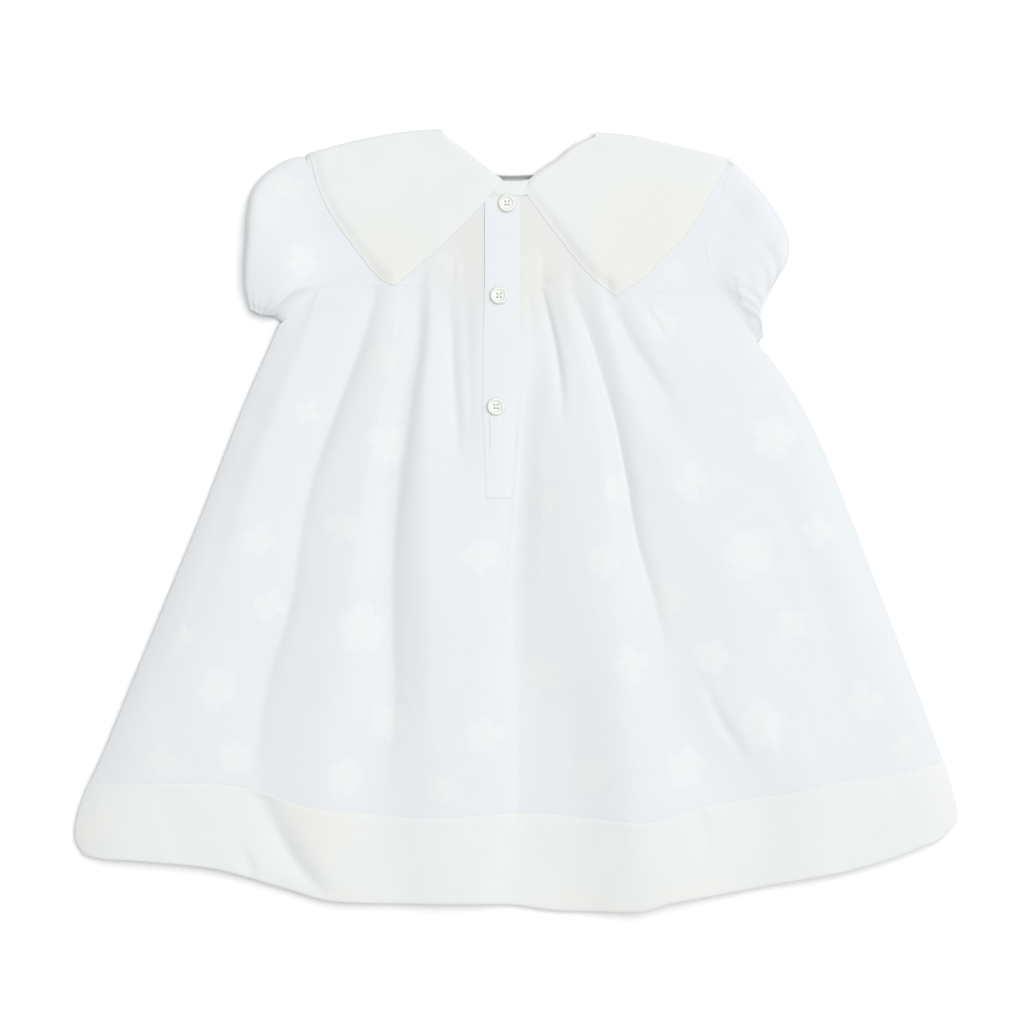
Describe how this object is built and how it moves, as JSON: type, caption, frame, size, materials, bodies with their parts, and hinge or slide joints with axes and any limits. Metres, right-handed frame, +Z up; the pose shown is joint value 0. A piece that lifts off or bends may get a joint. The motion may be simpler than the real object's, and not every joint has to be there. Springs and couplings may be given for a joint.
{
  "type": "toddler dress",
  "caption": "Short-sleeved toddler dress laid flat with its back up: pointed collar, gathered A-line skirt, buttoned placket and wide hem band.",
  "frame": {"origin": "on the surface that the dress lies on, under the middle of its outline", "axes": "+X across the dress to the viewer's right, +Y from the hem to the neck, +Z up from the surface through the back of the dress"},
  "size_m": [0.5071, 0.4498, 0.018],
  "materials": {
    "voile": "cool white cotton voile with tone-on-tone raised flowers",
    "poplin": "warm ivory plain cotton poplin, matte and crisp",
    "shell": "polished off-white shell with a soft sheen"
  },
  "bodies": {
    "root": {"back_skirt": "voile", "back_yoke_left": "voile", "back_yoke_right": "voile", "placket": "voile", "sleeve_left": "voile", "sleeve_right": "voile", "front_skirt": "voile", "front_yoke": "voile", "back_hem_band": "poplin", "front_hem_band": "poplin", "collar_left": "poplin", "collar_right": "poplin", "neckband_left": "poplin", "neckband_right": "poplin", "button_top": "shell", "button_middle": "shell", "button_bottom": "shell"}
  },
  "joints": []
}
